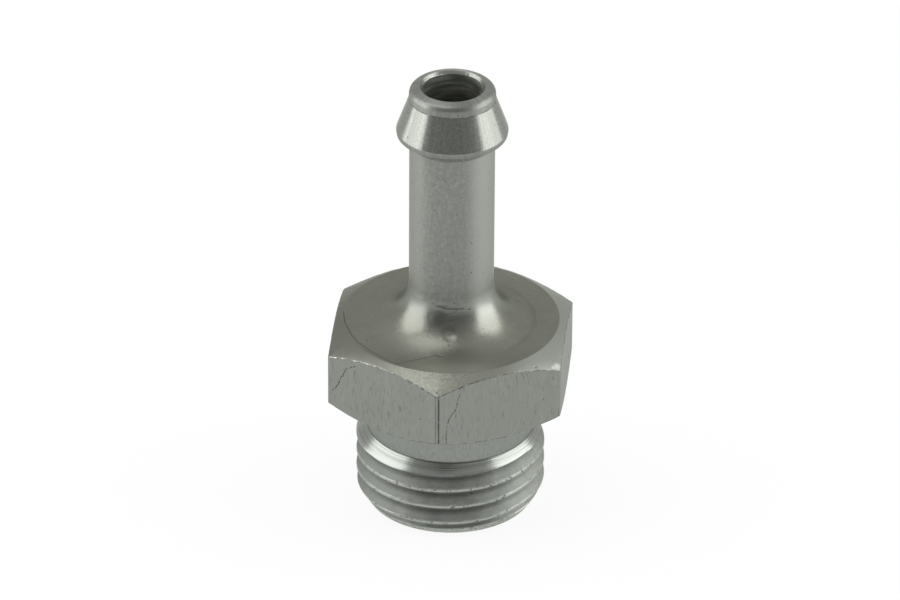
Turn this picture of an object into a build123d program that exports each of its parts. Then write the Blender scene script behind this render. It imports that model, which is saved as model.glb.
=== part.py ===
"""Hose barb tail: a one-piece turned aluminium fitting.

From the bottom up it has a straight male thread with an O-ring groove above it, a hexagon
for the spanner with a dished upper face, and a plain stem that ends in a single smooth barb.
One bore runs through from end to end. The helix of the thread isn't cut: a plain cylinder
stands at its crests.

Lengths are in millimetres. The origin is the centre of the thread's end face, and +Z runs
along the axis towards the barb.
"""

from build123d import *
from math import cos, isclose, radians, sqrt, tan
import os

# ---------------------------------------------------------------- driving dimensions
# Thread: 9/16-18, measured at the crests, with a long chamfer at its end
thread_dia = 14.25
thread_length = 5.65
end_face_dia = 12.6
end_chamfer_length = 1.3

# O-ring groove between the thread and the hexagon
groove_dia = 12.7
groove_length = 2.88
groove_corner_radius = 0.2
lead_in_length = 0.57

# Hexagon: 11/16 in across flats, with both ends chamfered on the lathe
across_flats = 17.46
hex_height = 6.05
hex_turn = -5.7
hex_corner_radius = 0.12
hex_chamfer_angle = 29.0
seal_face_dia = 16.6

# Dished upper face, and the sweep from it up to the stem
dish_dia = 16.3
dish_depth = 0.15
sweep_radius = 3.5

# Stem and barb, for a hose of 1/4 in bore
stem_dia = 6.38
tail_length = 19.85
barb_dia = 8.36
barb_lip_length = 0.42
barb_cone_length = 2.6
nose_dia = 6.48
nose_length = 1.0
nose_radius = 1.3

# Through bore, with both of its edges broken
bore_dia = 4.56
bore_edge_break = 0.08

# ---------------------------------------------------------------- heights above the end face
groove_bottom = thread_length + lead_in_length
hex_bottom = groove_bottom + groove_length
hex_top = hex_bottom + hex_height
dish_floor = hex_top - dish_depth
stem_foot = dish_floor + sweep_radius
tip = hex_top + tail_length
nose_bottom = tip - nose_length
lip_top = nose_bottom - barb_cone_length
lip_bottom = lip_top - barb_lip_length

# ---------------------------------------------------------------- radii
thread_r = thread_dia / 2
groove_r = groove_dia / 2
seal_face_r = seal_face_dia / 2
dish_r = dish_dia / 2
stem_r = stem_dia / 2
sweep_foot_r = stem_r + sweep_radius
barb_r = barb_dia / 2
nose_r = nose_dia / 2
bore_r = bore_dia / 2
tip_ring_r = nose_r - nose_radius + sqrt(nose_radius**2 - nose_length**2)

# The blank is wider than the bar's corners, so each chamfer runs out past them
blank_r = across_flats / 2 / cos(radians(30)) + 0.5
chamfer_slope = tan(radians(hex_chamfer_angle))
lower_chamfer_end = hex_bottom + (blank_r - seal_face_r) * chamfer_slope
upper_chamfer_end = hex_top - (blank_r - dish_r) * chamfer_slope

# ---------------------------------------------------------------- section of the hexagon bar
with BuildSketch() as bar:
    RegularPolygon(across_flats / 2, 6, major_radius=False, rotation=hex_turn - 90)
    fillet(bar.vertices(), radius=hex_corner_radius)

# ---------------------------------------------------------------- the fitting
with BuildPart() as hose_barb_tail:
    # All that the lathe turns, as one half section from the axis outwards
    with BuildSketch(Plane.XZ) as section:
        with BuildLine():
            # End face, chamfer, thread, lead-in cone, groove and sealing face
            thread_side = Polyline(
                (0, 0),
                (end_face_dia / 2, 0),
                (thread_r, end_chamfer_length),
                (thread_r, thread_length),
                (groove_r, groove_bottom),
                (groove_r, hex_bottom),
                (seal_face_r, hex_bottom),
            )
            # Blank for the hexagon, between its two chamfers
            blank = Polyline(
                thread_side @ 1,
                (blank_r, lower_chamfer_end),
                (blank_r, upper_chamfer_end),
                (dish_r, hex_top),
            )
            # Dished face, then the sweep that turns up into the stem
            dish = TangentArc((sweep_foot_r, dish_floor), blank @ 1, tangent=(1, 0))
            sweep = CenterArc((sweep_foot_r, stem_foot), sweep_radius, 180, 90)
            # Stem, underside of the barb, its lip and its cone
            barb = Polyline(
                (stem_r, stem_foot),
                (stem_r, lip_bottom),
                (barb_r, lip_bottom),
                (barb_r, lip_top),
                (nose_r, nose_bottom),
            )
            # Rounded nose, and the flat ring left round the bore
            nose = RadiusArc(barb @ 1, (tip_ring_r, tip), -nose_radius)
            Polyline(nose @ 1, (0, tip), (0, 0))
        make_face()
        groove_corner = section.vertices().sort_by_distance((groove_r, hex_bottom))[0]
        fillet(groove_corner, radius=groove_corner_radius)
    revolve(axis=Axis.Z)

    # The bar's six flats
    with BuildSketch(Plane.XY.offset(hex_bottom)):
        Circle(blank_r + 1)
        add(bar.sketch, mode=Mode.SUBTRACT)
    extrude(amount=hex_height, mode=Mode.SUBTRACT)

    # Through bore
    Hole(bore_r)
    rings = hose_barb_tail.edges().filter_by(GeomType.CIRCLE)
    chamfer(rings.filter_by(lambda ring: isclose(ring.radius, bore_r)), length=bore_edge_break)

hose_barb_tail.part.label = "hose_barb_tail"

# ---------------------------------------------------------------- files
os.makedirs("parts", exist_ok=True)
export_step(hose_barb_tail.part, "parts/hose_barb_tail.step")
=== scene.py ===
"""Hose barb tail, finished: the thread is cut, and each face gets the surface its tool leaves.

The fitting is one closed mesh. Its profile is drawn as a wire with rounded corners and turned
round the axis, the thread is swept up its helix, and the hexagon's flats are cut off the blank.
Every length is in metres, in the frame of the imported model: the axis is Z, and the thread's
end face lies at height 0.
"""

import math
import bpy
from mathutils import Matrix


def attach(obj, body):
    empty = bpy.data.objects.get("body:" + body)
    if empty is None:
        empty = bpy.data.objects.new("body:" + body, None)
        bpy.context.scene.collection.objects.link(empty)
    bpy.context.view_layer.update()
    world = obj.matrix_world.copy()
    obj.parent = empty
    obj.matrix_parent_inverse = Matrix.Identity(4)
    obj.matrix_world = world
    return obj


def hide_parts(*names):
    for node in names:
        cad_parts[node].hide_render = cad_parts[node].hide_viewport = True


bl_info = {
    "name": "Hose barb tail",
    "version": (1, 0, 0),
    "blender": (4, 5, 0),
    "location": "3D View > Sidebar > Hose barb tail",
    "description": "Makes a turned hose barb fitting with a hexagon and a straight thread",
    "category": "Object",
}

import bmesh
import bpy
from bpy.props import FloatProperty, FloatVectorProperty, IntProperty, PointerProperty
from mathutils import Matrix, Vector, noise

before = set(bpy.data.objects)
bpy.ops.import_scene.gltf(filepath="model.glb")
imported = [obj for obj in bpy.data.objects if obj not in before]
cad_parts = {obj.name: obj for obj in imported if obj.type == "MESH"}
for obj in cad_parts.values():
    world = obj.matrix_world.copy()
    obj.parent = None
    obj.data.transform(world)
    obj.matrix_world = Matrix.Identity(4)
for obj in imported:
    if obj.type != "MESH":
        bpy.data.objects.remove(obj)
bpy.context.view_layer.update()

MM = 0.001
WELD = 0.003 * MM  # corners nearer than this become one
SLACK = 0.01 * MM  # room for rounding errors where heights and radii are compared


# ---------------------------------------------------------------- settings
def length(name, description, millimetres):
    """A length property, given in millimetres and kept in metres."""
    return FloatProperty(
        name=name,
        description=description,
        default=millimetres * MM,
        min=0.0,
        precision=5,
        subtype="DISTANCE",
        unit="LENGTH",
    )


def angle(name, description, degrees):
    """An angle property, given in degrees and kept in radians."""
    return FloatProperty(
        name=name,
        description=description,
        default=math.radians(degrees),
        subtype="ANGLE",
        unit="ROTATION",
    )


def tint(name, description, colour):
    """A colour property."""
    return FloatVectorProperty(
        name=name,
        description=description,
        default=colour,
        min=0.0,
        max=1.0,
        size=3,
        subtype="COLOR",
    )


class TailSizes(bpy.types.PropertyGroup):
    """Sizes of the fitting."""

    thread_dia: length("Thread diameter", "Over the crests", 14.25)
    thread_root_dia: length("Thread root", "Diameter at the bottom of the thread", 13.0)
    thread_pitch: length("Thread pitch", "Rise of the helix in one turn", 1.411)
    thread_start: length("Thread start", "Height of the first crest at the front", 1.273)
    thread_length: length("Thread length", "Height at which the lead-in cone begins", 5.35)
    end_face_dia: length("End face", "Diameter of the flat end", 12.6)
    end_chamfer: length("End chamfer", "Length of the chamfer at the thread's end", 1.3)

    groove_dia: length("Groove diameter", "At the seat of the O-ring", 12.7)
    groove_length: length("Groove length", "From the lead-in cone to the hexagon", 2.88)
    groove_round: length("Groove corner", "Radius under the hexagon", 0.2)
    lead_in: length("Lead-in cone", "Length of the cone above the thread", 0.87)

    across_flats: length("Across flats", "Width of the hexagon", 17.46)
    hex_height: length("Hexagon height", "From the sealing face to the rim", 6.05)
    hex_turn: angle("Hexagon turn", "Of a corner, from the front", -5.7)
    hex_corner: length("Hexagon corners", "Radius of the bar's corners", 0.15)
    hex_edge: length("Hexagon rims", "How far the turned rims are broken back", 0.06)
    hex_chamfer: angle("Hexagon chamfer", "Slope of the turned chamfers", 29.0)
    seal_face_dia: length("Sealing face", "Diameter of the flat under the hexagon", 16.6)

    dish_dia: length("Dish", "Diameter of the dish's rim", 16.3)
    dish_depth: length("Dish depth", "From the rim to the dish's floor", 0.15)
    sweep_radius: length("Sweep", "Radius from the dish up into the stem", 3.5)
    stem_dia: length("Stem", "Diameter of the stem", 6.38)
    tail_length: length("Tail length", "From the hexagon's rim to the tip", 19.85)

    barb_dia: length("Barb", "Diameter of the barb's lip", 8.36)
    barb_lip: length("Barb lip", "Length of the lip", 0.42)
    barb_cone: length("Barb cone", "Length of the cone above the lip", 2.6)
    nose_dia: length("Nose", "Diameter at the foot of the nose", 6.48)
    nose_length: length("Nose length", "Length of the rounded end", 1.0)
    ring_slope: angle("Ring slope", "Fall of the end ring towards its rim", 15.0)

    bore_dia: length("Bore", "Diameter of the through bore", 4.56)
    bore_break: length("Bore edge", "Chamfer on both edges of the bore", 0.08)
    mouth: length("Bore mouth", "Depth of the worn edge at the tip", 0.26)

    steps: IntProperty(
        name="Steps", description="Divisions of one turn", default=240, min=48, max=360
    )


class TailFinishes(bpy.types.PropertyGroup):
    """Colours of the metal, one for each way it was worked."""

    turned: tint("Turned", "Thread and groove", (0.270, 0.285, 0.262))
    drawn: tint("Drawn", "The hexagon's flats", (0.292, 0.309, 0.279))
    dished: tint("Dished", "The dish, with its warmer cast", (0.234, 0.240, 0.206))
    polished: tint("Polished", "Stem and barb", (0.275, 0.287, 0.262))
    # The stain colour also serves as painted shade: in the thread's roots, at the top of the
    # lead-in cone, at the groove's foot, under the barb's lip and in a spot on the sweep's front.
    stain_and_shade: tint("Stained", "Dirt held in cracks, pits and corners", (0.040, 0.042, 0.034))


class StudioSettings(bpy.types.PropertyGroup):
    """Camera and lamps."""

    elevation: angle("Elevation", "Of the camera above the floor", 30.447)
    roll: angle("Roll", "Of the camera about its own line of sight", 0.354)
    distance: length("Distance", "From the camera to the fitting", 599.94)
    lens: FloatProperty(
        name="Lens", description="Focal length", default=320.0, unit="CAMERA"
    )
    side_lamp: FloatProperty(
        name="Side lamps", description="Strength of both softboxes", default=1.0, min=0.0
    )
    top_lamp: FloatProperty(
        name="Top lamp", description="Strength of the lamp above", default=1.0, min=0.0
    )
    room: tint("Room", "Colour of the ceiling and the far wall", (0.80, 0.80, 0.80))
    front: tint("Front", "Colour of the room behind the camera", (0.26, 0.26, 0.26))


# ---------------------------------------------------------------- shape of the fitting
class Tail:
    """The heights and radii that follow from the sizes."""

    def __init__(self, sizes):
        self.sizes = sizes
        self.thread_r = sizes.thread_dia / 2
        self.end_r = sizes.end_face_dia / 2
        self.groove_r = sizes.groove_dia / 2
        self.seal_r = sizes.seal_face_dia / 2
        self.dish_r = sizes.dish_dia / 2
        self.stem_r = sizes.stem_dia / 2
        self.barb_r = sizes.barb_dia / 2
        self.nose_r = sizes.nose_dia / 2
        self.bore_r = sizes.bore_dia / 2
        self.flat = sizes.across_flats / 2

        self.groove_z = sizes.thread_length + sizes.lead_in
        self.seal_z = self.groove_z + sizes.groove_length
        self.rim_z = self.seal_z + sizes.hex_height
        self.dish_z = self.rim_z - sizes.dish_depth
        self.stem_z = self.dish_z + sizes.sweep_radius
        self.tip_z = self.rim_z + sizes.tail_length
        self.nose_z = self.tip_z - sizes.nose_length
        self.ring_z = self.tip_z - (self.nose_r - self.bore_r) * math.tan(sizes.ring_slope)
        self.lip_top = self.nose_z - sizes.barb_cone
        self.lip_z = self.lip_top - sizes.barb_lip

        # In millimetres, as spots are placed
        self.nose_front = (0.0, -self.nose_r / MM, self.ring_z / MM)
        self.slope = math.tan(sizes.hex_chamfer)
        self.corner_r = self.flat / math.cos(math.radians(30))
        self.blank_r = self.corner_r + 0.5 * MM
        # Heights at which one finish gives way to the next
        self.sweep_end_z = self.stem_z - 0.4 * MM
        self.lip_foot_z = self.lip_z - 0.06 * MM
        self.ring_foot_z = self.ring_z + 0.02 * MM

    def crest_limit(self, z):
        """Largest radius of the thread at a height, between its end chamfer and lead-in cone."""
        sizes = self.sizes
        chamfer = self.end_r + (self.thread_r - self.end_r) * z / sizes.end_chamfer
        fall = (self.thread_r - self.groove_r) / sizes.lead_in
        lead_in = self.thread_r - fall * (z - sizes.thread_length)
        return min(chamfer, self.thread_r, lead_in)

    def thread_cut(self, place):
        """How deep the thread is cut at a place, from 1, full, to 0 where it has run out.

        Crests are counted in turns of the helix from the one at thread_start."""
        pitch = self.sizes.thread_pitch
        early, before_groove, run_out = 0.02, 0.75, 0.33
        turn = (math.atan2(place.y, place.x) / math.tau + 0.25) % 1.0
        risen = (place.z - self.sizes.thread_start) / pitch - turn
        crest = math.floor(risen + early) + turn
        last = (self.groove_z - self.sizes.thread_start) / pitch - before_groove
        share = min(max((last - crest) / run_out, 0.0), 1.0)
        return share * share * (3 - 2 * share)

    def dish_corner(self):
        """Where the dish's floor, carried on level, meets the tangent from its rim."""
        run = self.dish_r - (self.stem_r + self.sizes.sweep_radius)
        depth = self.sizes.dish_depth
        reach = math.hypot(run, depth) / 2 / math.cos(math.atan2(depth, run))
        return self.dish_r - run + reach, reach

    def profile(self):
        """Corners of the turned profile from the groove over the tip to the end face.

        Each is (radius, height, reach of its rounding, segments in the rounding). The blank
        is wider than the hexagon's corners, because the flats are cut off it later."""
        sizes = self.sizes
        dish_x, dish_reach = self.dish_corner()
        blank_rise = (self.blank_r - self.seal_r) * self.slope
        blank_fall = (self.blank_r - self.dish_r) * self.slope
        edge = sizes.bore_break
        return (
            (self.groove_r, self.groove_z, 0.0, 0),
            (self.groove_r, self.seal_z, sizes.groove_round, 6),
            (self.seal_r, self.seal_z, 0.03 * MM, 2),
            (self.blank_r, self.seal_z + blank_rise, 0.0, 0),
            (self.blank_r, self.rim_z - blank_fall, 0.0, 0),
            (self.dish_r, self.rim_z, 0.03 * MM, 3),
            (dish_x, self.dish_z, dish_reach * 0.93, 8),
            (self.stem_r, self.dish_z, sizes.sweep_radius, 24),
            (self.stem_r, self.lip_z, 0.05 * MM, 4),
            (self.barb_r - 0.07 * MM, self.lip_z, 0.10 * MM, 6),
            (self.barb_r, self.lip_top, 0.10 * MM, 4),
            (self.nose_r, self.nose_z, 0.02 * MM, 2),
            (self.nose_r - 0.03 * MM, self.ring_z, 0.32 * MM, 10),
            (self.bore_r + 2 * edge, self.tip_z, 0.05 * MM, 4),
            (self.bore_r, self.tip_z - sizes.mouth, 0.03 * MM, 3),
            (self.bore_r, edge, 0.01 * MM, 2),
            (self.bore_r + edge, 0.0, 0.01 * MM, 2),
            (self.end_r, 0.0, 0.0, 0),
        )

    def thread_profile(self):
        """Corners of one pitch of the thread, from the middle of one root to the next.

        Above its crest the thread wears down to a rounded shoulder."""
        pitch, root_r = self.sizes.thread_pitch, self.sizes.thread_root_dia / 2
        depth = self.thread_r - root_r
        foot, wear_and_painted_light, root = 0.05 * pitch, 0.68 * pitch, 0.95 * pitch
        crest = foot + depth * math.tan(math.radians(30))
        shoulder = crest + pitch / 8
        worn_r = self.thread_r - 0.36 * depth
        return (
            (root_r, 0.0, 0.0, 0),
            (root_r, foot, 0.04 * MM, 3),
            (self.thread_r, crest, 0.012 * MM, 2),
            (self.thread_r, shoulder, 0.14 * MM, 6),
            (worn_r, wear_and_painted_light, 0.25 * MM, 6),
            (root_r, root, 0.05 * MM, 3),
            (root_r, pitch, 0.0, 0),
        )


def round_off(bm, geom, reach, segments, affect):
    """Rounds the corners of a wire or the edges of a body. Returns what it makes."""
    return bmesh.ops.bevel(
        bm,
        geom=geom,
        offset=reach,
        offset_type="OFFSET",
        segments=segments,
        profile=0.5,
        affect=affect,
        material=-1,
        clamp_overlap=True,
    )


def cut_off(bm, place, outward):
    """Cuts off what lies beyond a plane. Returns the corners and edges of the cut."""
    return bmesh.ops.bisect_plane(
        bm,
        geom=bm.verts[:] + bm.edges[:] + bm.faces[:],
        dist=0.1 * WELD,
        plane_co=place,
        plane_no=outward,
        clear_outer=True,
    )["geom_cut"]


def spin_wire(bm, wire, steps, rise, close):
    """Turns a wire once round the axis while it rises, and joins the ends if told to."""
    bmesh.ops.spin(
        bm,
        geom=wire,
        cent=(0, 0, 0),
        axis=(0, 0, 1),
        dvec=(0, 0, rise / steps),
        angle=math.tau,
        steps=steps,
        use_merge=close,
    )


def draw_wire(bm, corners, turn, cuts=0):
    """Draws a profile beside the axis, rounds its corners and divides its longer runs."""
    chain = [bm.verts.new((radius, 0.0, height)) for radius, height, _, _ in corners]
    for pair in zip(chain, chain[1:]):
        bm.edges.new(pair)
    for vert, (_, _, reach, segments) in zip(chain, corners):
        if segments:
            round_off(bm, [vert], reach, segments, "VERTICES")
    if cuts:
        runs = [edge for edge in bm.edges if edge.calc_length() > 0.3 * MM]
        bmesh.ops.subdivide_edges(bm, edges=runs, cuts=cuts)
    matrix = Matrix.Rotation(turn, 3, "Z")
    bmesh.ops.rotate(bm, verts=bm.verts[:], cent=(0, 0, 0), matrix=matrix)
    return bm.verts[:] + bm.edges[:]


def turn_profile(tail):
    """The turned body, open where the thread goes."""
    bm = bmesh.new()
    wire = draw_wire(bm, tail.profile(), tail.sizes.hex_turn)
    spin_wire(bm, wire, tail.sizes.steps, 0.0, True)
    return bm


def cut_hexagon(bm, tail):
    """Cuts the hexagon off the blank: each flat, and three facets for each rounded corner."""
    cuts, degrees = 24, 15
    round_r = tail.sizes.hex_corner
    centre_r = (tail.flat - round_r) / math.cos(math.radians(30))
    for step in range(cuts):
        turn = tail.sizes.hex_turn + math.radians(degrees * step)
        off_corner = math.radians(degrees * (step % 4) - 30)
        outward = Vector((math.cos(turn), math.sin(turn), 0.0))
        reach = centre_r * math.cos(off_corner) + round_r
        cut = cut_off(bm, outward * reach, outward)
        rim = [item for item in cut if isinstance(item, bmesh.types.BMEdge)]
        bmesh.ops.edgeloop_fill(bm, edges=rim, mat_nr=0, use_smooth=True)
    solid = [vert for vert in bm.verts if not vert.is_boundary]
    bmesh.ops.remove_doubles(bm, verts=solid, dist=WELD)
    bmesh.ops.recalc_face_normals(bm, faces=bm.faces[:])


def break_rims(bm, tail):
    """Rounds the hexagon's upper and lower rims, a little unevenly. Returns the new faces."""
    upright = {face for face in bm.faces if is_flat(face, tail)}
    rims = []
    for edge in bm.edges:
        beside = [face in upright for face in edge.link_faces]
        if any(beside) and not all(beside):
            rims.append(edge)
    wander, spacing = 0.03 * MM, 0.5 * MM
    for vert in {vert for edge in rims for vert in edge.verts}:
        vert.co.z += wander * noise.noise(vert.co / spacing)
    return round_off(bm, rims, tail.sizes.hex_edge, 4, "EDGES")["faces"]


def is_flat(face, tail):
    """Whether a face is one of the hexagon's flats."""
    middle = face.calc_center_bounds()
    upright = abs(face.normal.z) < 0.01
    return upright and tail.seal_z < middle.z < tail.rim_z and middle.xy.length > tail.seal_r


def sweep_thread(tail):
    """The thread: one pitch swept up its helix, trimmed at both ends and turned down there."""
    sizes = tail.sizes
    pitch, steps = sizes.thread_pitch, sizes.steps
    bm = bmesh.new()
    wire = draw_wire(bm, tail.thread_profile(), sizes.hex_turn, cuts=4)
    spin_wire(bm, wire, steps, pitch, False)
    first_turn = bm.verts[:] + bm.edges[:] + bm.faces[:]
    for turn in range(1, math.ceil(tail.groove_z / pitch) + 2):
        copy = bmesh.ops.duplicate(bm, geom=first_turn)["geom"]
        verts = [item for item in copy if isinstance(item, bmesh.types.BMVert)]
        bmesh.ops.translate(bm, verts=verts, vec=(0, 0, turn * pitch))
    # At the front, three quarters of a turn on from +X, a crest stands at thread_start
    crest = tail.thread_profile()[2][1]
    part_turn = 0.75 - sizes.hex_turn / math.tau
    drop = sizes.thread_start - crest - part_turn * pitch
    drop -= pitch * math.ceil((drop + pitch) / pitch)
    bmesh.ops.translate(bm, verts=bm.verts[:], vec=(0, 0, drop))
    bmesh.ops.remove_doubles(bm, verts=bm.verts[:], dist=WELD)
    trim_thread(bm, tail, 0.0, -1)
    trim_thread(bm, tail, tail.groove_z, 1)
    for vert in bm.verts:
        limit = tail.crest_limit(vert.co.z)
        radius = vert.co.xy.length
        if vert.is_boundary:
            wanted = limit
        else:
            cut = tail.thread_cut(vert.co)
            wanted = min(limit, limit + (radius - limit) * cut)
        vert.co.xy *= wanted / radius
    return bm


def trim_thread(bm, tail, height, side):
    """Cuts the thread off level, and keeps only the corners that stand on a step of the turn."""
    steps = tail.sizes.steps
    cut = cut_off(bm, (0, 0, height), (0, 0, side))
    ring = [item for item in cut if isinstance(item, bmesh.types.BMVert)]
    kept, stray = {}, []
    for vert in ring:
        turn = math.atan2(vert.co.y, vert.co.x) - tail.sizes.hex_turn
        place = turn * steps / math.tau
        column = round(place) % steps
        if abs(place - round(place)) < 0.01 and column not in kept:
            kept[column] = vert
        else:
            stray.append((vert, column))
    bmesh.ops.weld_verts(bm, targetmap={vert: kept[column] for vert, column in stray})


# ---------------------------------------------------------------- nodes and colours
# Which inputs and output of a mix are colours: others have the same names
MIX_A, MIX_B, MIX_RESULT = 6, 7, 2
GRAZING = (0.72, 0.74, 0.70, 1.0)  # tints what the metal mirrors at a low angle


def add_node(tree, kind, inputs=None, **settings):
    """Adds a node, and fills its inputs with other sockets or with plain values."""
    node = tree.nodes.new("ShaderNode" + kind)
    for name, value in settings.items():
        setattr(node, name, value)
    for name, value in (inputs or {}).items():
        if isinstance(value, bpy.types.NodeSocket):
            tree.links.new(value, node.inputs[name])
        else:
            node.inputs[name].default_value = value
    return node


def shade(colour, factor):
    """A colour made darker or lighter by a factor."""
    return tuple(factor * channel for channel in colour)


# ---------------------------------------------------------------- finishes
def finish_of(face, tail):
    """Name of the finish that a face gets, from where it lies."""
    middle = face.calc_center_median()
    radius, z = middle.xy.length, middle.z
    if radius < tail.bore_r + 0.3 * tail.sizes.bore_break:
        return "bore"
    if z < tail.groove_z:
        on_cone = z > tail.sizes.thread_length and radius > tail.crest_limit(z) - 4 * WELD
        return "lead_in" if on_cone else "thread"
    if z < tail.seal_z + SLACK:
        return "groove"
    if is_flat(face, tail):
        return "flats"
    if z < tail.rim_z + SLACK and radius > tail.dish_r - SLACK:
        return "chamfer"
    if z < tail.sweep_end_z:
        return "dish"
    if z < tail.lip_foot_z:
        return "stem"
    return "ring" if z > tail.ring_foot_z else "barb"


class Finish:
    """One finish of the metal: its material, and short calls that add nodes to it."""

    def __init__(self, name, colour, roughness, lengthwise=0.0):
        self.material = bpy.data.materials.new(name)
        self.material.use_nodes = True
        self.tree = self.material.node_tree
        self.shader = self.tree.nodes["Principled BSDF"]
        self.shader.inputs["Metallic"].default_value = 1.0
        self.shader.inputs["Base Color"].default_value = (*colour, 1.0)
        self.shader.inputs["Roughness"].default_value = roughness
        self.shader.inputs["Specular Tint"].default_value = GRAZING
        self.colour = colour
        self.place = self.add("TexCoord").outputs["Object"]
        self.x, y, self.z = self.add("SeparateXYZ", {0: self.place}).outputs
        level = self.add("CombineXYZ", {"X": self.x, "Y": y}).outputs[0]
        self.radius = self.vector("LENGTH", level)
        self.direction = self.vector("NORMALIZE", level)
        if lengthwise:
            # The tool's fine grooves run round the axis, and spread light across themselves
            around = self.vector("CROSS_PRODUCT", (0.0, 0.0, 1.0), level)
            self.shader.inputs["Anisotropic"].default_value = lengthwise
            self.shader.inputs["Anisotropic Rotation"].default_value = 0.25
            self.set("Tangent", around)

    def add(self, kind, inputs=None, **settings):
        """Adds a node to the finish."""
        return add_node(self.tree, kind, inputs, **settings)

    def set(self, socket, value):
        """Links a value to one of the shader's sockets."""
        self.tree.links.new(value, self.shader.inputs[socket])

    def math(self, operation, first, second=0.0, clamp=False):
        """One step of arithmetic."""
        node = self.add("Math", {0: first, 1: second}, operation=operation, use_clamp=clamp)
        return node.outputs[0]

    def vector(self, operation, first, second=(0.0, 0.0, 0.0)):
        """One step of vector arithmetic."""
        node = self.add("VectorMath", {0: first, 1: second}, operation=operation)
        return node.outputs["Value" if operation in ("LENGTH", "DOT_PRODUCT") else "Vector"]

    def scaled(self, vector, factor):
        """A vector made longer or shorter."""
        return self.add("VectorMath", {0: vector, "Scale": factor}, operation="SCALE").outputs[0]

    def spread(self, value, low, high, to_low=0.0, to_high=1.0):
        """Maps a range of values on to another, smoothly and held at both ends."""
        ends = {"From Min": low, "From Max": high, "To Min": to_low, "To Max": to_high}
        node = self.add("MapRange", {"Value": value, **ends}, interpolation_type="SMOOTHSTEP")
        return node.outputs[0]

    # Patterns, each from 0 to 1
    def noise(self, vector, scale, detail=2.0, roughness=0.5):
        """Noise with its own scale along each axis, per metre."""
        place = self.add("Mapping", {"Vector": vector, "Scale": scale}).outputs[0]
        settings = {"Vector": place, "Scale": 1.0, "Detail": detail, "Roughness": roughness}
        return self.add("TexNoise", settings).outputs["Fac"]

    def grain(self, size, detail=3.0, roughness=0.6):
        """Even grain of a size in millimetres."""
        return self.noise(self.place, (1.0 / (size * MM),) * 3, detail, roughness)

    def rings(self, around, size, slant, detail=2.0):
        """Tool marks that run round the axis: long along the turn and fine across it.

        slant says how far they move out and up as they are crossed, size is in millimetres."""
        out = self.math("MULTIPLY", self.radius, slant[0] / (size * MM))
        up = self.math("MULTIPLY", self.z, slant[1] / (size * MM))
        turned = self.scaled(self.direction, around)
        lift = self.add("CombineXYZ", {"Z": self.math("ADD", out, up)}).outputs[0]
        return self.noise(self.vector("ADD", turned, lift), (1.0, 1.0, 1.0), detail)

    def pits(self, spacing, size, share):
        """Scattered small pits: their spacing and size in millimetres, and how many are there."""
        cells = self.add("TexVoronoi", {"Vector": self.place, "Scale": 1.0 / (spacing * MM)})
        chance = self.add("SeparateXYZ", {0: cells.outputs["Color"]}).outputs
        there = self.math("GREATER_THAN", chance[0], 1.0 - share)
        reach = self.math("MULTIPLY", chance[1], size / spacing)
        inside = self.math("SUBTRACT", reach, cells.outputs["Distance"])
        edge = self.math("MULTIPLY", inside, 2.5 * spacing / size, clamp=True)
        return self.math("MULTIPLY", edge, there)

    def line(self, width, *points, wander=0.08):
        """A scratch or crack through points, all in millimetres."""
        stray = self.add("TexNoise", {"Vector": self.place, "Scale": 3.0 / MM, "Detail": 2.0})
        stray = self.vector("SUBTRACT", stray.outputs["Color"], (0.5, 0.5, 0.5))
        stray = self.vector("MULTIPLY", stray, (2 * wander * MM,) * 3)
        place = self.vector("ADD", self.place, stray)
        nearest = None
        for start, end in zip(points, points[1:]):
            start, end = Vector(start) * MM, Vector(end) * MM
            run = end - start
            off = self.vector("SUBTRACT", place, start)
            share = self.vector("DOT_PRODUCT", off, run / run.length_squared)
            share = self.math("ADD", share, 0.0, clamp=True)
            away = self.vector("SUBTRACT", off, self.scaled(run, share))
            away = self.vector("LENGTH", away)
            nearest = self.math("MINIMUM", nearest, away) if nearest else away
        return self.spread(nearest, 0.15 * width * MM, 0.6 * width * MM, 1.0, 0.0)

    def spot(self, centre, size):
        """A soft round patch, its centre and radius in millimetres."""
        off = self.vector("SUBTRACT", self.place, Vector(centre) * MM)
        return self.spread(self.vector("LENGTH", off), 0.2 * size * MM, size * MM, 1.0, 0.0)

    def band(self, value, rise, full, fall, end):
        """Where a value lies in a band with soft edges."""
        rising = self.spread(value, rise, full)
        return self.both(rising, self.spread(value, fall, end, 1.0, 0.0))

    def faint(self, pattern, strength):
        """A pattern at part of its strength."""
        return self.math("MULTIPLY", pattern, strength)

    def both(self, first, second):
        """Two patterns where they overlap."""
        return self.math("MULTIPLY", first, second)

    def either(self, *patterns):
        """Several patterns laid together."""
        whole = patterns[0]
        for pattern in patterns[1:]:
            whole = self.math("MAXIMUM", whole, pattern)
        return whole

    # Colour and relief
    def tone(self, factor, low, high):
        """The finish's own colour, darkened and lightened by a factor from 0 to 1."""
        ends = {MIX_A: (*shade(self.colour, low), 1.0), MIX_B: (*shade(self.colour, high), 1.0)}
        node = self.add("Mix", {"Factor": factor, **ends}, data_type="RGBA")
        return node.outputs[MIX_RESULT]

    def over(self, colour, mark, amount):
        """Lays a plain colour over another where a pattern is."""
        ends = {MIX_A: colour, MIX_B: (*mark, 1.0)}
        node = self.add("Mix", {"Factor": amount, **ends}, data_type="RGBA")
        return node.outputs[MIX_RESULT]

    def lay_dark_colour(self, colour, stain, amount):
        """Gives the finish its colour, with the dark stain colour laid over it where a pattern
        is: dirt, and in places painted shade.
        """
        self.set("Base Color", self.over(colour, stain, amount))

    def relief(self, *patterns):
        """Raises the surface by patterns, each with its height in millimetres."""
        whole = None
        for pattern, height in patterns:
            part = self.math("MULTIPLY", pattern, height)
            whole = self.math("ADD", whole, part) if whole else part
        node = self.add("Bump", {"Height": whole, "Distance": MM})
        self.set("Normal", node.outputs[0])


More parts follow.
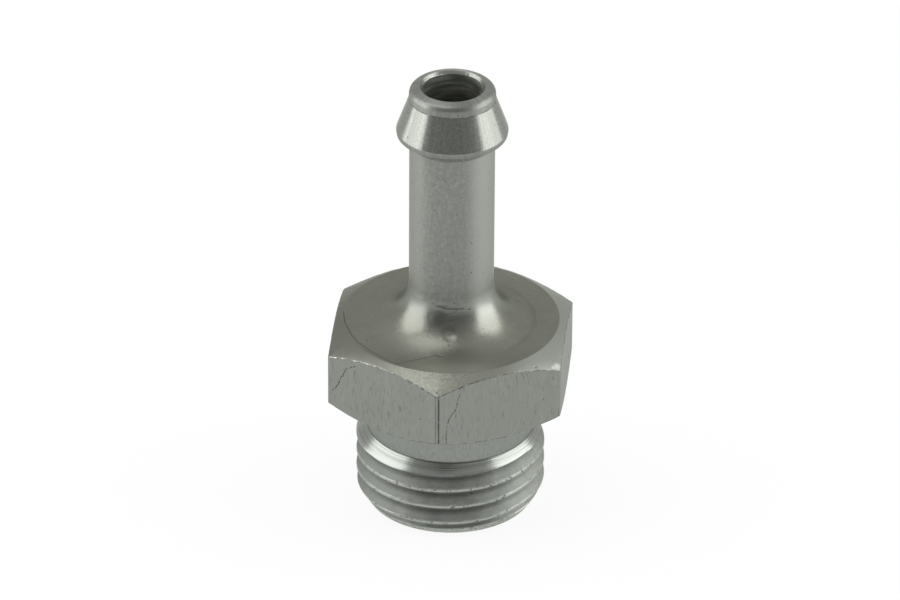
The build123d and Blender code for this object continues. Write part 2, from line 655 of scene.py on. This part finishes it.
def thread_finish(colours, tail):
    """Cut thread: matt flanks, nicked crests painted lighter as a highlight, and painted shade in
    the roots and towards the left.
    """
    finish = Finish("thread", shade(colours.turned, 1.06), 0.6)
    chamfer = (tail.thread_r - tail.end_r) / tail.sizes.end_chamfer
    limit = finish.math("ADD", finish.math("MULTIPLY", finish.z, chamfer), tail.end_r)
    limit = finish.math("MINIMUM", limit, tail.thread_r)
    depth = finish.math("SUBTRACT", limit, finish.radius)
    crest = finish.spread(depth, 0.02 * MM, 0.08 * MM, 1.0, 0.0)
    root = finish.spread(depth, 0.3 * MM, 0.6 * MM)

    lines = finish.rings(4.0, 0.12, (-1.0, 1.0))
    grain = finish.grain(0.2)
    nicks = finish.both(crest, finish.spread(finish.grain(0.24, 2.0), 0.57, 0.64))
    patches = finish.spread(finish.grain(1.3, 2.0), 0.35, 0.65)
    pits = finish.pits(0.9, 0.13, 0.25)
    colour = finish.tone(finish.both(lines, finish.spread(grain, 0.2, 0.5)), 0.82, 1.2)
    colour = finish.over(colour, shade(colours.turned, 0.86), finish.faint(patches, 0.8))
    # Painted shade: the thread darker towards the left.
    painted_left_shade = finish.spread(finish.x, -5.5 * MM, -2.5 * MM, 0.75, 0.0)
    colour = finish.over(colour, shade(colours.turned, 0.76), painted_left_shade)
    # Painted highlight: the crests made lighter.
    colour = finish.over(colour, shade(colours.turned, 1.5), finish.faint(crest, 0.85))
    # Painted shade: the roots darkened with the stain colour.
    colour = finish.over(colour, colours.stain_and_shade, finish.faint(root, 0.25))
    dirt = finish.faint(finish.either(nicks, pits), 0.6)
    finish.lay_dark_colour(colour, colours.stain_and_shade, dirt)
    finish.set("Roughness", finish.spread(crest, 0.0, 1.0, 0.6, 0.29))
    finish.relief((lines, 0.004), (grain, 0.012), (patches, 0.015), (nicks, -0.03))
    return finish.material


def lead_in_finish(colours, tail):
    """Lead-in cone: bright, with the feed marks of the tool and a painted shadow along its top.
    """
    finish = Finish("lead_in", shade(colours.turned, 1.08), 0.21)
    feed = finish.rings(0.8, 0.13, (-0.7, 0.7), detail=0.0)
    lines = finish.rings(1.5, 0.07, (-0.7, 0.7))
    grain = finish.grain(0.3)
    colour = finish.tone(finish.spread(feed, 0.3, 0.7), 0.84, 1.1)
    # Painted shade: a dark line at the top of the cone, under the groove.
    foot = finish.spread(finish.z, tail.groove_z - 0.05 * MM, tail.groove_z - 0.01 * MM)
    finish.lay_dark_colour(colour, colours.stain_and_shade, finish.both(foot, grain))
    finish.relief((feed, 0.012), (lines, 0.003), (grain, 0.004))
    return finish.material


def groove_finish(colours, tail):
    """Groove: satin, with faint marks up and down, dirt in its pits, and a painted shadow at its
    foot.
    """
    finish = Finish("groove", colours.turned, 0.36)
    streaks = finish.noise(finish.place, (7000.0, 7000.0, 2500.0), 3.0, 0.7)
    pits = finish.pits(0.6, 0.12, 0.2)
    # Painted shadow: darker at the groove's foot, where it meets the cone.
    start = tail.groove_z + 0.02 * MM
    foot = finish.spread(finish.z, start, start + 0.1 * MM, 0.6, 0.0)
    colour = finish.tone(finish.spread(streaks, 0.3, 0.7), 0.9, 1.08)
    dirt = finish.either(foot, finish.faint(pits, 0.5))
    finish.lay_dark_colour(colour, colours.stain_and_shade, dirt)
    finish.relief((streaks, 0.004), (pits, -0.01))
    return finish.material


def flats_finish(colours, tail):
    """Drawn bar: fine streaks along the axis, hairline cracks and dirt along the corners."""
    finish = Finish("flats", colours.drawn, 0.42)
    streaks = finish.noise(finish.place, (9500.0, 9500.0, 1400.0), 4.0, 0.7)
    broad = finish.noise(finish.place, (1800.0, 1800.0, 250.0), 2.0)
    flecks = finish.noise(finish.place, (9000.0, 9000.0, 1300.0), 3.0, 0.6)
    flecks = finish.spread(flecks, 0.57, 0.66)
    worked = finish.spread(finish.grain(2.2, 1.0), 0.4, 0.6, 0.25, 1.0)
    flecks = finish.both(flecks, worked)
    pits = finish.pits(0.7, 0.12, 0.3)
    corner = tail.corner_r - 0.06 * MM
    edges = (corner + off * MM for off in (-0.05, -0.025, -0.015, 0.005))
    seam = finish.both(finish.band(finish.radius, *edges), finish.spread(broad, 0.42, 0.6))
    cracks = finish.either(
        finish.line(
            0.11,
            (-7.15, -5.62, 14.10), (-7.75, -5.18, 13.66), (-7.98, -5.02, 13.21),
            (-8.43, -4.69, 12.05), (-8.96, -4.31, 11.03),
            wander=0.15,
        ),
        finish.line(
            0.09,
            (0.62, -9.30, 13.94), (0.40, -9.40, 12.70), (-0.11, -9.63, 12.05),
            (-0.33, -9.73, 10.80), (-0.30, -9.72, 9.60),
            wander=0.15,
        ),
        finish.line(0.16, (-0.89, -9.99, 13.9), (-0.88, -9.98, 9.1), wander=0.03),
        finish.faint(
            finish.line(0.10, (-1.12, -9.94, 13.8), (-1.11, -9.95, 9.1), wander=0.03), 0.55
        ),
    )
    cracks = finish.both(cracks, finish.spread(finish.grain(0.45), 0.3, 0.5, 0.55, 1.0))
    colour = finish.tone(finish.spread(streaks, 0.25, 0.75), 0.86, 1.1)
    colour = finish.over(colour, shade(colours.drawn, 0.86), broad)
    dirt = finish.either(
        finish.faint(cracks, 0.9),
        finish.faint(finish.either(seam, pits), 0.5),
        finish.faint(flecks, 0.34),
    )
    finish.lay_dark_colour(colour, colours.stain_and_shade, dirt)
    finish.relief((streaks, 0.009), (flecks, -0.008), (cracks, -0.02), (pits, -0.01))
    return finish.material


def chamfer_finish(colours, tail):
    """Turned chamfers: grained, with faint rings, painted shade towards the left and painted
    light towards the right.
    """
    finish = Finish("chamfer", colours.dished, 0.33)
    grain = finish.grain(0.17, 3.0, 0.65)
    lines = finish.rings(4.0, 0.15, (1.0, -0.5))
    pits = finish.pits(0.8, 0.13, 0.3)
    rough = finish.spot((-1.6, -8.6, 14.6), 5.5)
    grain = finish.both(finish.math("SUBTRACT", grain, 0.5), rough)
    grain = finish.math("ADD", grain, 0.5)
    colour = finish.tone(finish.spread(grain, 0.25, 0.75), 0.8, 1.2)
    # Painted shade: the chamfers darker towards the left.
    painted_left_shade = finish.spread(finish.x, -5.5 * MM, -3.0 * MM, 0.7, 0.0)
    colour = finish.over(colour, shade(colours.dished, 0.72), painted_left_shade)
    # Painted light: the chamfers lighter towards the right.
    painted_light_patch = finish.spread(finish.x, 3.0 * MM, 6.5 * MM, 0.0, 0.85)
    colour = finish.over(colour, shade(colours.drawn, 1.12), painted_light_patch)
    bruise, bare = finish.spot((7.95, -5.6, 14.25), 0.42), (0.62, 0.62, 0.58)
    bruise = finish.either(bruise, finish.spot((7.6, -5.85, 14.2), 0.3))
    colour = finish.over(colour, bare, bruise)
    dirt = finish.faint(pits, 0.6)
    finish.lay_dark_colour(colour, colours.stain_and_shade, dirt)
    finish.relief((grain, 0.006), (lines, 0.002), (pits, -0.01))
    return finish.material


def dish_finish(colours, tail):
    """Dish and sweep: fine rings, the marks that the tool and handling left, painted light at the
    front and on the sweep's right, and a painted dark spot on the sweep's front.
    """
    finish = Finish("dish", colours.dished, 0.4, 0.35)
    lines = finish.rings(3.0, 0.16, (1.0, -1.0))
    grain = finish.grain(0.16, 3.0, 0.65)
    cloud = finish.grain(1.6, 3.0)
    pits = finish.pits(0.8, 0.13, 0.22)
    marks = finish.either(
        finish.line(
            0.12,
            (-8.14, 1.0, 15.12), (-7.96, -0.77, 15.12), (-7.49, -2.49, 15.10),
            (-6.95, -3.65, 15.09), (-5.88, -5.07, 15.08), (-4.6, -6.3, 15.1),
            wander=0.03,
        ),
        finish.line(
            0.10,
            (-4.08, -6.84, 15.11), (-2.75, -6.06, 15.0), (-1.11, -5.57, 15.15),
            (-0.51, -5.78, 15.11),
            wander=0.04,
        ),
        finish.line(
            0.11,
            (-2.34, -2.19, 18.26), (-1.74, -2.69, 18.21), (-1.14, -3.0, 18.14),
            (-0.39, -3.18, 18.16),
            wander=0.12,
        ),
        finish.line(
            0.13,
            (-1.9, -2.6, 18.15), (-0.84, -3.15, 17.85), (-0.16, -3.28, 17.8),
            (0.5, -3.25, 17.75), (1.4, -2.99, 17.63),
            wander=0.16,
        ),
        finish.spot((-6.28, -3.20, 15.01), 0.13),
        finish.spot((-5.91, -2.75, 15.01), 0.1),
        finish.spot((5.03, 2.39, 15.18), 0.14),
    )
    smear = finish.both(
        finish.spot((-0.3, -3.2, 17.9), 1.7),
        finish.spread(finish.rings(3.0, 0.16, (0.3, 1.0)), 0.47, 0.62),
    )
    ring = finish.band(finish.radius, 6.0 * MM, 6.25 * MM, 6.25 * MM, 6.6 * MM)
    ring = finish.both(ring, finish.spread(finish.x, 3.0 * MM, 5.0 * MM))
    dent = finish.spot((-0.15, -4.15, 16.15), 0.75)
    # A raised bump on the sweep's front, with a darker spot on it as a painted reflection of the
    # dark room in front.
    bump_and_painted_shade = finish.spot((-0.9, -3.35, 17.0), 0.8)
    rise = finish.spread(finish.z, 15.8 * MM, tail.sweep_end_z)
    # Painted reflection: a lighter upright band on the right of the sweep, under the one painted
    # on the stem.
    painted_light_patch = finish.spread(finish.x, 0.5 * MM, 2.2 * MM, 0.0, 0.8)
    # Painted light: the dish made lighter towards its front.
    wear_and_painted_light = finish.spread(finish.radius, 4.9 * MM, 7.6 * MM)
    wear_and_painted_light = finish.both(wear_and_painted_light, finish.spot((0.2, -7.9, 15.1), 5.4))
    colour = finish.tone(finish.spread(grain, 0.3, 0.7), 0.88, 1.1)
    colour = finish.over(colour, shade(colours.dished, 0.8), cloud)
    colour = finish.over(colour, shade(colours.polished, 0.93), rise)
    colour = finish.over(colour, shade(colours.polished, 1.16), finish.both(painted_light_patch, rise))
    colour = finish.over(colour, shade(colours.dished, 1.55), wear_and_painted_light)
    faint = finish.either(
        finish.faint(ring, 0.14),
        finish.faint(finish.either(smear, pits), 0.35),
        finish.faint(bump_and_painted_shade, 0.25),
    )
    dirt = finish.either(finish.faint(marks, 0.6), faint)
    finish.lay_dark_colour(colour, colours.stain_and_shade, dirt)
    finish.relief(
        (lines, 0.002), (grain, 0.009), (cloud, 0.02),
        (marks, -0.012), (dent, -0.08), (bump_and_painted_shade, 0.03),
    )
    sweep = finish.spread(finish.radius, 4.2 * MM, 6.2 * MM, 0.28, 0.41)
    neck = finish.spread(finish.z, 17.0 * MM, tail.sweep_end_z, 0.0, 0.09)
    matt = finish.faint(wear_and_painted_light, 0.16)
    finish.set("Roughness", finish.math("ADD", finish.math("ADD", sweep, neck), matt))
    return finish.material


def stem_finish(colours, tail):
    """Stem: satin, with light handling marks, painted reflections in upright bands and a painted
    shadow under the lip.
    """
    finish = Finish("stem", colours.polished, 0.39, 0.35)
    grain = finish.grain(0.3, 4.0, 0.75)
    streaks = finish.noise(finish.place, (6500.0, 6500.0, 900.0), 3.0, 0.7)
    pits = finish.pits(0.4, 0.1, 0.45)
    marks = finish.either(
        finish.line(0.1, (-1.8, -2.6, 29.3), (-0.9, -3.06, 28.8), (0.9, -3.05, 29.1)),
        finish.line(0.1, (-0.7, -3.1, 28.9), (-0.3, -3.2, 28.5), (-0.25, -3.2, 28.1)),
        finish.line(0.09, (-1.2, -2.9, 20.4), (0.3, -3.17, 20.3)),
        finish.line(0.09, (0.9, -3.0, 25.6), (0.95, -3.0, 22.9)),
    )
    streaks = finish.spread(streaks, 0.3, 0.7)
    # Painted shadow, partly a tool line: the stem darkened just under the barb's lip.
    corner = finish.spread(finish.z, tail.lip_z - 0.76 * MM, tail.lip_z - 0.64 * MM)
    corner = finish.both(corner, finish.spread(grain, 0.35, 0.5))
    colour = finish.tone(finish.spread(grain, 0.3, 0.7), 0.82, 1.16)
    crosses = finish.noise(finish.place, (1300.0, 1300.0, 6500.0), 2.0, 0.6)
    crosses = finish.spread(crosses, 0.55, 0.68)
    streaks = finish.either(finish.faint(streaks, 0.8), crosses)
    colour = finish.over(colour, shade(colours.polished, 0.84), streaks)
    # Painted reflections: lighter upright bands on the stem, on the right and on the far left.
    painted_light_patch = finish.either(
        finish.spread(finish.x, 0.8 * MM, 1.9 * MM, 0.0, 0.9),
        finish.spread(finish.x, -2.5 * MM, -1.8 * MM, 0.55, 0.0),
    )
    colour = finish.over(colour, shade(colours.polished, 1.16), painted_light_patch)
    dirt = finish.either(
        finish.faint(pits, 0.4),
        finish.faint(marks, 0.25),
        finish.faint(corner, 0.45),
    )
    finish.lay_dark_colour(colour, colours.stain_and_shade, dirt)
    finish.relief((grain, 0.003), (streaks, 0.003), (pits, -0.012), (marks, -0.008))
    return finish.material


def barb_finish(colours, tail):
    """Barb: the cone polished, the rounded nose left satin, with painted shade on the front of
    its top rounding.
    """
    finish = Finish("barb", colours.polished, 0.2, 0.45)
    lines = finish.rings(3.0, 0.12, (-0.4, 1.0))
    grain = finish.grain(0.22, 4.0, 0.7)
    bands = finish.noise(finish.direction, (7.0, 7.0, 7.0), 4.0, 0.7)
    bands = finish.spread(bands, 0.33, 0.67)
    pits = finish.pits(0.45, 0.1, 0.4)
    nose = finish.spread(finish.z, tail.nose_z - 0.02 * MM, tail.nose_z + 0.06 * MM)
    lip = finish.spread(finish.z, tail.lip_top - 0.1 * MM, tail.lip_top, 1.0, 0.0)
    edges = (tail.nose_z + off * MM for off in (-0.06, 0.0, 0.03, 0.09))
    seam = finish.both(finish.band(finish.z, *edges), finish.spread(grain, 0.35, 0.55))
    colour = finish.tone(finish.spread(grain, 0.3, 0.7), 0.86, 1.1)
    colour = finish.over(colour, shade(colours.polished, 0.76), finish.faint(bands, 0.6))
    # Painted shade: the front of the nose's top rounding made darker.
    rim = finish.spread(finish.z, tail.ring_z - 0.3 * MM, tail.ring_z, 0.0, 0.75)
    rim = finish.both(rim, finish.spot(tail.nose_front, 3.0))
    colour = finish.over(colour, shade(colours.polished, 0.62), rim)
    dirt = finish.either(finish.faint(seam, 0.7), finish.faint(pits, 0.45))
    finish.lay_dark_colour(colour, colours.stain_and_shade, dirt)
    satin = finish.spread(finish.either(nose, lip), 0.0, 1.0, 0.19, 0.4)
    wear_and_painted_light = finish.faint(finish.both(grain, bands), 0.2)
    finish.set("Roughness", finish.math("ADD", satin, wear_and_painted_light))
    finish.relief((lines, 0.0012), (grain, 0.003), (pits, -0.01))
    return finish.material


def ring_finish(colours, tail):
    """End ring: faced off, its fine grooves throwing light across them, with painted shade at the
    front and painted light at the back.
    """
    finish = Finish("ring", shade(colours.polished, 1.08), 0.3, 0.85)
    lines = finish.rings(2.5, 0.09, (1.0, 0.0))
    rays = finish.noise(finish.direction, (14.0, 14.0, 14.0), 3.0, 0.65)
    rays = finish.spread(rays, 0.35, 0.65)
    grain = finish.grain(0.2, 4.0, 0.7)
    pits = finish.pits(0.4, 0.1, 0.4)
    colour = finish.tone(finish.spread(grain, 0.3, 0.7), 0.84, 1.1)
    colour = finish.over(colour, shade(colours.polished, 0.8), rays)
    # Painted shade: the ring darker at the front.
    wear_and_painted_light = finish.spot(tail.nose_front, 2.6)
    colour = finish.over(colour, shade(colours.polished, 0.72), finish.faint(wear_and_painted_light, 0.7))
    # Painted light: the ring lighter at the back.
    painted_light_patch = finish.spot((0.0, 2.9, tail.tip_z / MM), 3.4)
    colour = finish.over(colour, shade(colours.polished, 1.36), finish.faint(painted_light_patch, 0.8))
    dirt = finish.faint(pits, 0.45)
    finish.lay_dark_colour(colour, colours.stain_and_shade, dirt)
    finish.relief((lines, 0.0025), (rays, 0.006), (grain, 0.003), (pits, -0.01))
    return finish.material


def bore_finish(colours, tail):
    """Bore: the rings left by the drill, and painted shade deeper down."""
    near_mouth, deep_down = (0.72, 0.74, 0.69), (0.28, 0.29, 0.265)
    finish = Finish("bore", near_mouth, 0.42)
    rings = finish.rings(1.2, 0.33, (0.0, 1.0), detail=1.0)
    lines = finish.rings(2.0, 0.1, (0.0, 1.0))
    # Painted shade: the bore's colour darkens with depth.
    deep = finish.spread(finish.z, tail.tip_z - 3.0 * MM, tail.tip_z - 0.7 * MM, 0.9, 0.0)
    colour = finish.tone(finish.spread(rings, 0.35, 0.65), 0.6, 1.15)
    finish.set("Base Color", finish.over(colour, deep_down, deep))
    finish.relief((rings, 0.028), (lines, 0.008))
    return finish.material


def edges_finish(colours, tail):
    """Broken rims of the hexagon: nicked, dark in places and bright where they were hit."""
    finish, bare = Finish("edges", colours.drawn, 0.33), (0.46, 0.47, 0.44)
    wear = finish.grain(0.35)
    spots = finish.grain(0.22, 1.0)
    hit = finish.spread(finish.x, -5.9 * MM, -5.2 * MM, 1.0, 0.12)
    hit = finish.both(hit, finish.spread(spots, 0.55, 0.63))
    colour = finish.tone(finish.spread(wear, 0.35, 0.65), 0.4, 1.1)
    finish.set("Base Color", finish.over(colour, bare, hit))
    finish.relief((wear, 0.02))
    return finish.material


MAKERS = {
    "thread": thread_finish,
    "lead_in": lead_in_finish,
    "groove": groove_finish,
    "flats": flats_finish,
    "chamfer": chamfer_finish,
    "dish": dish_finish,
    "stem": stem_finish,
    "barb": barb_finish,
    "ring": ring_finish,
    "bore": bore_finish,
    "edges": edges_finish,
}
FINISHES = list(MAKERS)
SHARP = math.radians(18)  # faces that meet at more than this are shaded apart


# ---------------------------------------------------------------- operators
class TAIL_OT_fitting(bpy.types.Operator):
    """Make the fitting, with its thread, hexagon and barb"""

    bl_idname = "tail.fitting"
    bl_label = "Make the fitting"

    def execute(self, context):
        scene = context.scene
        tail = Tail(scene.tail_sizes)
        body = turn_profile(tail)
        cut_hexagon(body, tail)
        wear_and_painted_light = body.faces.layers.int.new("wear_and_painted_light")
        for face in break_rims(body, tail):
            face[wear_and_painted_light] = 1

        mesh = bpy.data.meshes.new("turned_tail")
        thread = sweep_thread(tail)
        thread.to_mesh(mesh)
        thread.free()
        body.from_mesh(mesh)
        rings = [vert for vert in body.verts if vert.is_boundary]
        bmesh.ops.remove_doubles(body, verts=rings, dist=WELD)
        bmesh.ops.recalc_face_normals(body, faces=body.faces[:])
        for face in body.faces:
            face.smooth = True
            name = "edges" if face[wear_and_painted_light] else finish_of(face, tail)
            face.material_index = FINISHES.index(name)
        for edge in body.edges:
            edge.smooth = edge.calc_face_angle(0.0) < SHARP
        body.to_mesh(mesh)
        body.free()

        for make_finish in MAKERS.values():
            mesh.materials.append(make_finish(scene.tail_finishes, tail))
        fitting = bpy.data.objects.new("turned_tail", mesh)
        scene.collection.objects.link(fitting)
        even = fitting.modifiers.new("Even shading", "WEIGHTED_NORMAL")
        even.mode = "FACE_AREA"
        even.keep_sharp = True
        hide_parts("hose_barb_tail")
        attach(fitting, "root")
        return {"FINISHED"}


class TAIL_OT_studio(bpy.types.Operator):
    """Make the floor, the lamps and the camera"""

    bl_idname = "tail.studio"
    bl_label = "Make the studio"

    def execute(self, context):
        scene = context.scene
        studio = scene.tail_studio
        make_floor(scene)
        make_room(scene, studio)
        make_lamps(scene, studio)
        make_camera(scene, studio)
        scene.view_settings.view_transform = "Standard"
        return {"FINISHED"}


def make_floor(scene):
    """A wide white floor that shows a faint shadow."""
    bm = bmesh.new()
    bmesh.ops.create_grid(bm, x_segments=1, y_segments=1, size=4.0)
    mesh = bpy.data.meshes.new("floor")
    bm.to_mesh(mesh)
    bm.free()
    floor = bpy.data.objects.new("floor", mesh)
    floor.location.z = -0.02 * MM
    scene.collection.objects.link(floor)

    material = bpy.data.materials.new("white_floor")
    material.use_nodes = True
    tree = material.node_tree
    paper = tree.nodes["Principled BSDF"]
    paper.inputs["Base Color"].default_value = (0.9, 0.9, 0.9, 1.0)
    paper.inputs["Roughness"].default_value = 0.9
    # Whatever sees the floor directly or in a reflection finds it nearly white
    glow = add_node(tree, "Emission").outputs[0]
    path = add_node(tree, "LightPath").outputs
    seen = path["Is Camera Ray"]
    for kind in ("Is Glossy Ray", "Is Transmission Ray"):
        seen = add_node(tree, "Math", {0: seen, 1: path[kind]}, operation="MAXIMUM").outputs[0]
    share = add_node(tree, "Math", {0: seen, 1: 0.9}, operation="MULTIPLY").outputs[0]
    mix = add_node(tree, "MixShader", {0: share, 1: paper.outputs[0], 2: glow})
    tree.links.new(mix.outputs[0], tree.nodes["Material Output"].inputs["Surface"])
    mesh.materials.append(material)


def make_room(scene, studio):
    """The room round the table: pale above and behind, darker low down behind the camera."""
    world = bpy.data.worlds.new("room")
    world.use_nodes = True
    tree = world.node_tree
    towards_pale = (0.12, 0.745, 0.655)
    view = add_node(tree, "TexCoord").outputs["Object"]
    share = add_node(tree, "VectorMath", {0: view, 1: towards_pale}, operation="DOT_PRODUCT")
    limits = {"Value": share.outputs["Value"], "From Min": -0.55, "From Max": 0.7}
    pale = add_node(tree, "MapRange", limits, interpolation_type="SMOOTHSTEP").outputs[0]
    ends = {MIX_A: (*studio.front, 1.0), MIX_B: (*studio.room, 1.0)}
    mix = add_node(tree, "Mix", {"Factor": pale, **ends}, data_type="RGBA")
    tree.links.new(mix.outputs[MIX_RESULT], tree.nodes["Background"].inputs["Color"])
    scene.world = world


def add_lamp(scene, name, place, aim, size, power):
    """One rectangular lamp that the camera doesn't see."""
    light = bpy.data.lights.new(name, "AREA")
    light.shape = "RECTANGLE"
    light.size, light.size_y = size
    light.energy = power
    lamp = bpy.data.objects.new(name, light)
    lamp.location = place
    lamp.rotation_euler = (Vector(aim) - Vector(place)).to_track_quat("-Z", "Y").to_euler()
    lamp.visible_camera = False
    scene.collection.objects.link(lamp)


def make_lamps(scene, studio):
    """A softbox on each side, the right one a little stronger, and one lamp above."""
    away, depth, height = 0.155, -0.006, 0.095
    for name, side, share in (("left_softbox", -1, 0.96), ("right_softbox", 1, 1.04)):
        place, aim = (side * away, depth, height), (0.0, depth, height)
        power = 0.2 * share * studio.side_lamp
        add_lamp(scene, name, place, aim, (0.152, 0.19), power)
    place, aim = (-0.13, 0.0, 0.4), (-0.13, 0.0, 0.0)
    add_lamp(scene, "top_lamp", place, aim, (0.25, 0.3), 0.28 * studio.top_lamp)


def make_camera(scene, studio):
    """The camera, aimed at the middle of the fitting."""
    data = bpy.data.cameras.new("camera")
    data.sensor_width = 36.0
    data.lens = studio.lens
    data.clip_start, data.clip_end = 0.01, 20.0
    camera = bpy.data.objects.new("camera", data)
    aim = Vector((-0.094 * MM, 0.0, 16.64 * MM))
    back = Vector((0.0, -math.cos(studio.elevation), math.sin(studio.elevation)))
    tilt = Matrix.Rotation(math.radians(90) - studio.elevation, 4, "X")
    roll = Matrix.Rotation(studio.roll, 4, "Z")
    camera.matrix_world = Matrix.Translation(aim + back * studio.distance) @ tilt @ roll
    scene.collection.objects.link(camera)
    scene.camera = camera


class TAIL_PT_panel(bpy.types.Panel):
    """Sizes, colours and buttons of the fitting"""

    bl_idname = "TAIL_PT_panel"
    bl_label = "Hose barb tail"
    bl_space_type = "VIEW_3D"
    bl_region_type = "UI"
    bl_category = "Hose barb tail"

    def draw(self, context):
        layout = self.layout
        scene = context.scene
        for group in (getattr(scene, name) for name in GROUPS):
            box = layout.box()
            for name in group.bl_rna.properties.keys():
                if name not in ("rna_type", "name"):
                    box.prop(group, name)
        layout.operator(TAIL_OT_fitting.bl_idname)
        layout.operator(TAIL_OT_studio.bl_idname)


GROUPS = {"tail_sizes": TailSizes, "tail_finishes": TailFinishes, "tail_studio": StudioSettings}
CLASSES = (*GROUPS.values(), TAIL_OT_fitting, TAIL_OT_studio, TAIL_PT_panel)


def register():
    for cls in CLASSES:
        bpy.utils.register_class(cls)
    for name, group in GROUPS.items():
        setattr(bpy.types.Scene, name, PointerProperty(type=group))


def unregister():
    for name in GROUPS:
        delattr(bpy.types.Scene, name)
    for cls in reversed(CLASSES):
        bpy.utils.unregister_class(cls)


def main():
    register()
    bpy.ops.tail.studio()
    bpy.ops.tail.fitting()


if __name__ == "__main__":
    main()
